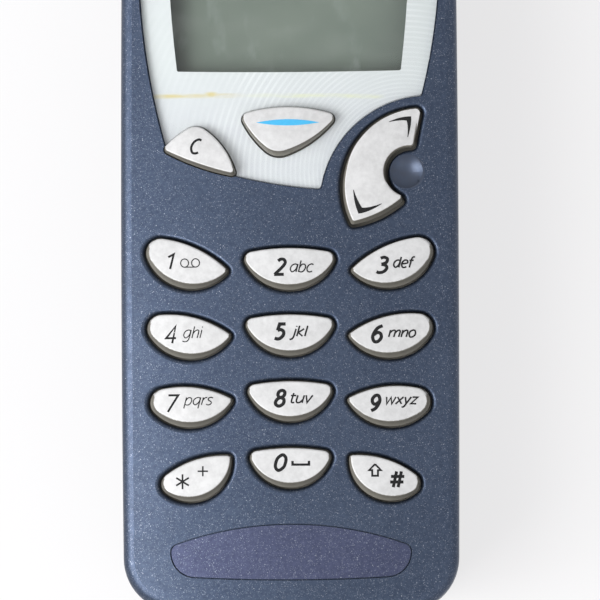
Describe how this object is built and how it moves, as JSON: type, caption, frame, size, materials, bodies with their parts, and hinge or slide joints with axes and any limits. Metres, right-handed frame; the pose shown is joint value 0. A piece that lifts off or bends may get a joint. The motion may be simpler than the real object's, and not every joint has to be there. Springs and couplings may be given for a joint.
{
  "type": "candybar mobile phone",
  "caption": "Candybar mobile phone: blue clip-on cover with lens-shaped keys, silver-framed display window, dark back shell, swing-out battery with latch, stub aerial.",
  "frame": {"origin": "on the flat back of the battery, half way along the body and on its centre line", "axes": "+Z comes out of the display, +Y points to the aerial end, +X to the right of the keys"},
  "size_m": [0.0476, 0.152, 0.0309],
  "materials": {
    "cover_paint": "metallic flake paint under clear coat",
    "lens_clear": "polished clear acrylic",
    "trim_silver": "printed silver",
    "key_silver": "silver pearl, satin",
    "shell_dark": "fine moulded texture",
    "chassis_grey": "plain moulded",
    "rubber_dark": "matte",
    "mat_silicone": "matte translucent",
    "film_clear": "thin film",
    "dome_steel": "sprung sheet",
    "board_green": "solder mask",
    "shield_tin": "tinned sheet",
    "screw_steel": "zinc plated",
    "chip_black": "moulded epoxy",
    "plastic_cream": "plain moulded",
    "lcd_cell": "grey-green display glass",
    "guide_white": "white light guide",
    "led_yellow": "small lamp",
    "zebra_strip": "striped elastomer",
    "mesh_dark": "fine dust mesh",
    "contact_gold": "gold plated",
    "socket_nickel": "nickel plated",
    "ferrule_brass": "turned",
    "cell_sleeve": "plain drawn can"
  },
  "bodies": {
    "handset": {"chassis": "chassis_grey", "rear_cover": "shell_dark", "housing_screws": "screw_steel", "main_board": "board_green", "rf_shield": "shield_tin", "baseband_shield": "shield_tin", "board_chips": "chip_black", "board_connector": "plastic_cream", "buzzer": "chip_black", "keypad_board": "board_green", "dome_film": "film_clear", "key_domes": "dome_steel", "keymat": "mat_silicone", "lcd_frame": "guide_white", "lcd_glass": "lcd_cell", "light_guide": "guide_white", "backlight_leds": "led_yellow", "lcd_connector": "zebra_strip", "earpiece": "chip_black", "earpiece_gasket": "rubber_dark", "power_switch": "chip_black", "battery_connector": "chip_black", "contact_springs": "contact_gold", "antenna_sheath": "rubber_dark", "antenna_coil": "ferrule_brass", "antenna_ferrule": "ferrule_brass", "antenna_clip": "dome_steel", "rf_port": "contact_gold", "rf_port_plug": "rubber_dark", "system_connector": "chip_black", "connector_contacts": "contact_gold", "charger_jack": "socket_nickel", "microphone": "socket_nickel", "microphone_boot": "rubber_dark"},
    "cover": {"front_cover": "cover_paint", "display_window": "lens_clear", "display_trim": "trim_silver", "cover_badge": "cover_paint", "earpiece_screen": "mesh_dark"},
    "key_menu": {"key_menu": "key_silver"},
    "key_clear": {"key_clear": "key_silver"},
    "key_scroll": {"key_scroll": "key_silver"},
    "key_1": {"key_1": "key_silver"},
    "key_2": {"key_2": "key_silver"},
    "key_3": {"key_3": "key_silver"},
    "key_4": {"key_4": "key_silver"},
    "key_5": {"key_5": "key_silver"},
    "key_6": {"key_6": "key_silver"},
    "key_7": {"key_7": "key_silver"},
    "key_8": {"key_8": "key_silver"},
    "key_9": {"key_9": "key_silver"},
    "key_0": {"key_0": "key_silver"},
    "key_star": {"key_star": "key_silver"},
    "key_hash": {"key_hash": "key_silver"},
    "power_key": {"power_key": "shell_dark"},
    "battery": {"battery_case": "shell_dark", "battery_lid": "shell_dark", "battery_cells": "cell_sleeve", "battery_contacts": "contact_gold"},
    "battery_latch": {"battery_latch": "shell_dark"}
  },
  "joints": [
    {"name": "front_cover_lift", "type": "slide", "parent": "handset", "child": "cover", "axis": [0, 0, 1], "range_m": [0, 0.02]},
    {"name": "key_menu_press", "type": "slide", "parent": "handset", "child": "key_menu", "axis": [0, 0, -1], "range_m": [0, 0.0005], "stiffness_N_per_m": 1000},
    {"name": "key_clear_press", "type": "slide", "parent": "handset", "child": "key_clear", "axis": [0, 0, -1], "range_m": [0, 0.0005], "stiffness_N_per_m": 1000},
    {"name": "key_scroll_rock", "type": "hinge", "parent": "handset", "child": "key_scroll", "pos_m": [0.0104, -0.0032, 0.0286], "axis": [0.9191, -0.394, 0], "range_deg": [-2.5, 2.5], "stiffness_Nm_per_rad": 0.1},
    {"name": "key_1_press", "type": "slide", "parent": "handset", "child": "key_1", "axis": [0, 0, -1], "range_m": [0, 0.0005], "stiffness_N_per_m": 1000},
    {"name": "key_2_press", "type": "slide", "parent": "handset", "child": "key_2", "axis": [0, 0, -1], "range_m": [0, 0.0005], "stiffness_N_per_m": 1000},
    {"name": "key_3_press", "type": "slide", "parent": "handset", "child": "key_3", "axis": [0, 0, -1], "range_m": [0, 0.0005], "stiffness_N_per_m": 1000},
    {"name": "key_4_press", "type": "slide", "parent": "handset", "child": "key_4", "axis": [0, 0, -1], "range_m": [0, 0.0005], "stiffness_N_per_m": 1000},
    {"name": "key_5_press", "type": "slide", "parent": "handset", "child": "key_5", "axis": [0, 0, -1], "range_m": [0, 0.0005], "stiffness_N_per_m": 1000},
    {"name": "key_6_press", "type": "slide", "parent": "handset", "child": "key_6", "axis": [0, 0, -1], "range_m": [0, 0.0005], "stiffness_N_per_m": 1000},
    {"name": "key_7_press", "type": "slide", "parent": "handset", "child": "key_7", "axis": [0, 0, -1], "range_m": [0, 0.0005], "stiffness_N_per_m": 1000},
    {"name": "key_8_press", "type": "slide", "parent": "handset", "child": "key_8", "axis": [0, 0, -1], "range_m": [0, 0.0005], "stiffness_N_per_m": 1000},
    {"name": "key_9_press", "type": "slide", "parent": "handset", "child": "key_9", "axis": [0, 0, -1], "range_m": [0, 0.0005], "stiffness_N_per_m": 1000},
    {"name": "key_0_press", "type": "slide", "parent": "handset", "child": "key_0", "axis": [0, 0, -1], "range_m": [0, 0.0005], "stiffness_N_per_m": 1000},
    {"name": "key_star_press", "type": "slide", "parent": "handset", "child": "key_star", "axis": [0, 0, -1], "range_m": [0, 0.0005], "stiffness_N_per_m": 1000},
    {"name": "key_hash_press", "type": "slide", "parent": "handset", "child": "key_hash", "axis": [0, 0, -1], "range_m": [0, 0.0005], "stiffness_N_per_m": 1000},
    {"name": "power_key_press", "type": "slide", "parent": "handset", "child": "power_key", "axis": [0, -1, 0], "range_m": [0, 0.0005], "stiffness_N_per_m": 1000},
    {"name": "battery_swing", "type": "hinge", "parent": "handset", "child": "battery", "pos_m": [0, -0.064, 0.01165], "axis": [-1, 0, 0], "range_deg": [0, 20]},
    {"name": "battery_latch_slide", "type": "slide", "parent": "battery", "child": "battery_latch", "axis": [0, -1, 0], "range_m": [0, 0.002], "stiffness_N_per_m": 400}
  ]
}
